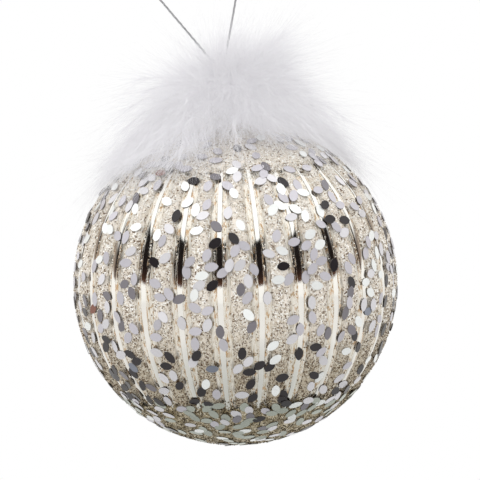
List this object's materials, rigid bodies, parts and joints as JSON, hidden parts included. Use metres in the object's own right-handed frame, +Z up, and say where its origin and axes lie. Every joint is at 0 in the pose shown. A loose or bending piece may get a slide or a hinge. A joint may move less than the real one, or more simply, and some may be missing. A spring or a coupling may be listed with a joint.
{
  "type": "glass ball ornament",
  "caption": "Ribbed silvered glass ball hung by a cord loop, with glitter bands, oval sequins, a metal cap, a sprung wire hanger and a white feather ruff round its neck.",
  "frame": {"origin": "the hanging point, at the inside top of the cord's loop", "axes": "+Z up along the way it hangs, -Y towards the front of the ball, +X to its right seen from the front"},
  "size_m": [0.0998, 0.0998, 0.1678],
  "materials": {
    "silvered_glass": "silvered glass with a champagne tint, polished, a little foxed",
    "champagne_glitter": "coarse champagne and silver glitter in clear glue",
    "cap_metal": "stamped, silver coloured, satin",
    "wire_steel": "drawn spring wire",
    "ruff_string": "twisted white string",
    "white_down": "soft white down",
    "silver_cord": "twisted metallic thread"
  },
  "bodies": {
    "cord": {"hanging_loop": "silver_cord", "cord_bight": "silver_cord", "cord_knot": "silver_cord"},
    "cap": {"ball_cap": "cap_metal", "spring_hanger": "wire_steel", "ruff_core": "ruff_string", "plumes_right_back": "white_down", "plumes_back_right": "white_down", "plumes_back_left": "white_down", "plumes_left_back": "white_down", "plumes_left_front": "white_down", "plumes_front_left": "white_down", "plumes_front_right": "white_down", "plumes_right_front": "white_down"},
    "ball": {"glass_ball": "silvered_glass", "glitter_crown": "champagne_glitter", "glitter_base": "champagne_glitter", "glitter_band_01": "champagne_glitter", "glitter_band_02": "champagne_glitter", "glitter_band_03": "champagne_glitter", "glitter_band_04": "champagne_glitter", "glitter_band_05": "champagne_glitter", "glitter_band_06": "champagne_glitter", "glitter_band_07": "champagne_glitter", "glitter_band_08": "champagne_glitter", "glitter_band_09": "champagne_glitter", "glitter_band_10": "champagne_glitter", "glitter_band_11": "champagne_glitter", "glitter_band_12": "champagne_glitter", "glitter_band_13": "champagne_glitter", "glitter_band_14": "champagne_glitter", "glitter_band_15": "champagne_glitter", "glitter_band_16": "champagne_glitter", "glitter_band_17": "champagne_glitter", "glitter_band_18": "champagne_glitter", "glitter_band_19": "champagne_glitter", "glitter_band_20": "champagne_glitter", "glitter_band_21": "champagne_glitter", "glitter_band_22": "champagne_glitter", "glitter_band_23": "champagne_glitter", "glitter_band_24": "champagne_glitter", "glitter_band_25": "champagne_glitter"}
  },
  "joints": [
    {"name": "ornament_swing", "type": "hinge", "parent": "cord", "child": "cap", "pos_m": [0.0102, 0, -0.0553], "axis": [0, 1, 0], "range_deg": [-40, 40]},
    {"name": "ball_draw_off", "type": "slide", "parent": "cap", "child": "ball", "axis": [0, 0, -1], "range_m": [0, 0.022]}
  ]
}
